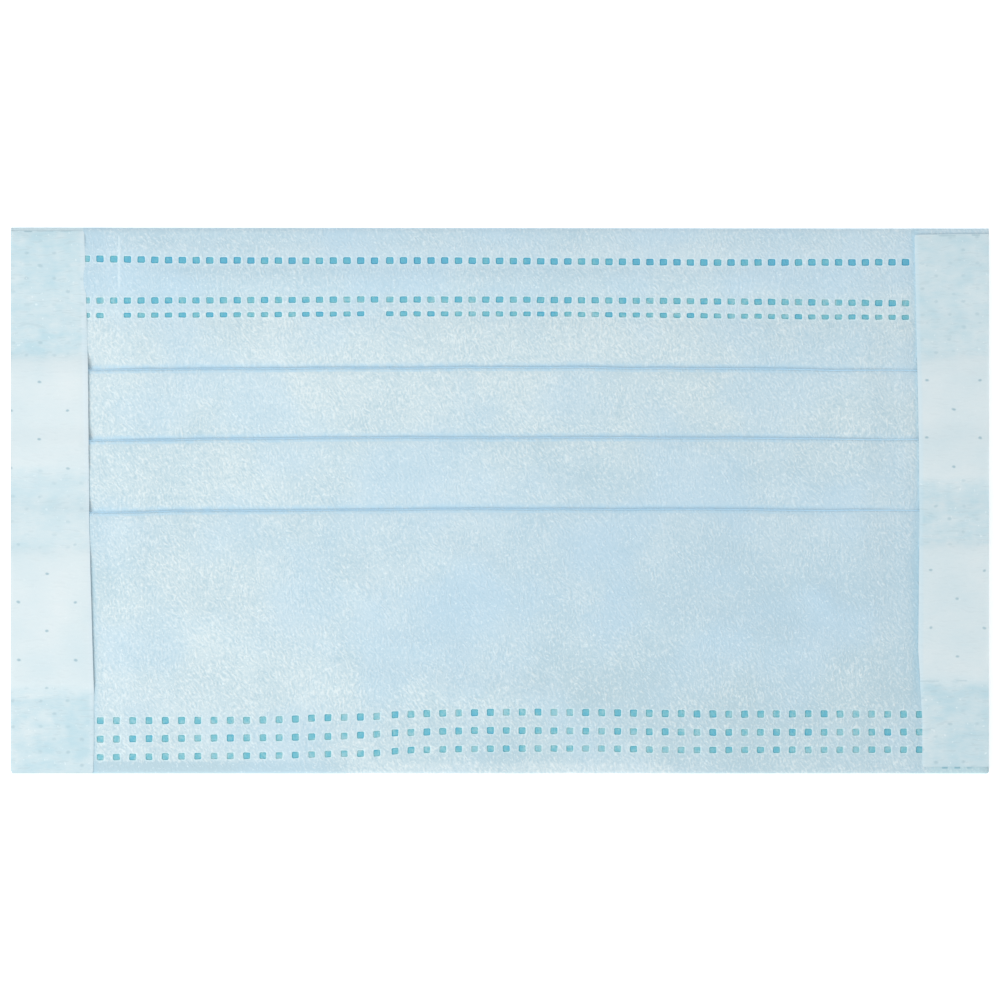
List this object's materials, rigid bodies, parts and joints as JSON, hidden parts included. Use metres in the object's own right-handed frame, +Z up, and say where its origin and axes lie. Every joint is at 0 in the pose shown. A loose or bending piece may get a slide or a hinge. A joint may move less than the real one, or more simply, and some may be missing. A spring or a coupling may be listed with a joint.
{
  "type": "medical face mask",
  "caption": "Flat pleated medical face mask with folded cloth panel, side bands and a nose wire in the top hem, without ear loops.",
  "frame": {"origin": "centre of the underside, on the surface that the mask lies on", "axes": "+X along the width from the left band to the right one, +Y towards the nose edge, +Z up out of the front face"},
  "size_m": [0.175, 0.0976, 0.0049],
  "materials": {
    "cloth": "pale blue spunbond nonwoven, matt, with fine fibres and rows of pressed teal welds; white inner ply",
    "tape": "thin off-white nonwoven tape, matt, the blue cloth showing faintly through",
    "wire": "white plastic coating on a flat soft wire"
  },
  "bodies": {
    "root": {"pleated_panel": "cloth", "side_band_left": "tape", "side_band_right": "tape", "nose_wire": "wire"}
  },
  "joints": []
}
